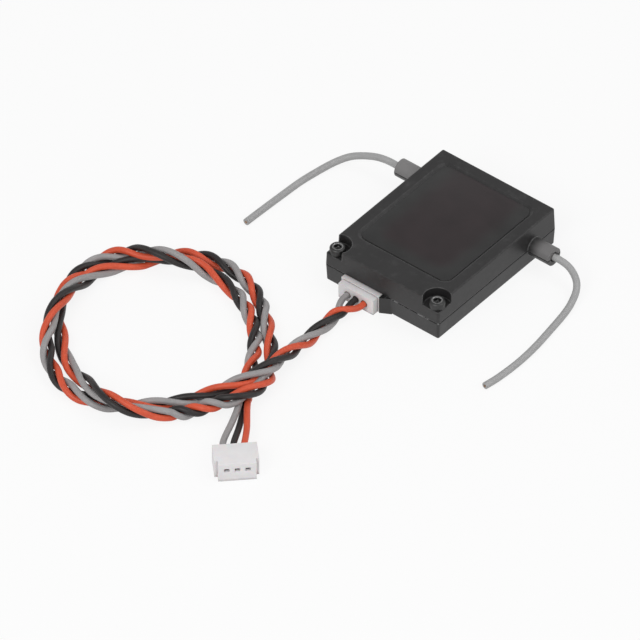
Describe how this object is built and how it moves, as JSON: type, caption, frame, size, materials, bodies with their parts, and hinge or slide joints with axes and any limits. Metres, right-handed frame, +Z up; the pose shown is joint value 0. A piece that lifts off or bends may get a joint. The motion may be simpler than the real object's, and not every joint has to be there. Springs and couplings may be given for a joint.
{
  "type": "rc receiver",
  "caption": "Small flat radio receiver in a two-shell plastic case with side antenna spouts, wire antennas and a looped twisted lead that ends in a small white plug.",
  "frame": {"origin": "middle of the case's flat base, on the surface that it rests on", "axes": "+Z up through the cover; -Y out of the connector end with the two screws; +X along the right antenna spout"},
  "size_m": [0.061, 0.069, 0.0065],
  "materials": {
    "case_plastic": "satin moulded",
    "label_film": "satin film",
    "black_steel": "black oxide",
    "board_green": "solder mask",
    "white_nylon": "moulded",
    "gold_plate": "plated",
    "tinned_metal": "tinned",
    "chip_black": "fine matte",
    "lamp_white": "clear coated",
    "ceramic_tan": "fired",
    "resistor_black": "glazed",
    "coil_dark": "varnished",
    "copper_core": "bright drawn",
    "grey_jacket": "smooth extruded",
    "orange_wire": "satin extruded",
    "black_wire": "satin extruded"
  },
  "bodies": {
    "root": {"lower_case": "case_plastic", "cover": "case_plastic", "blank_label": "label_film", "case_screws": "black_steel", "circuit_board": "board_green", "connector_header": "white_nylon", "header_pins": "gold_plate", "radio_chip": "chip_black", "controller_chip": "chip_black", "chip_legs": "tinned_metal", "crystal_can": "tinned_metal", "voltage_regulator": "chip_black", "status_lamp": "lamp_white", "ceramic_capacitors": "ceramic_tan", "chip_resistors": "resistor_black", "antenna_coils": "coil_dark", "antenna_roots": "grey_jacket", "antenna_cores": "copper_core", "antenna_left": "grey_jacket", "antenna_right": "grey_jacket", "receiver_plug": "white_nylon", "receiver_contacts": "gold_plate", "lead": "orange_wire", "far_plug": "white_nylon", "far_contacts": "gold_plate"}
  },
  "joints": []
}
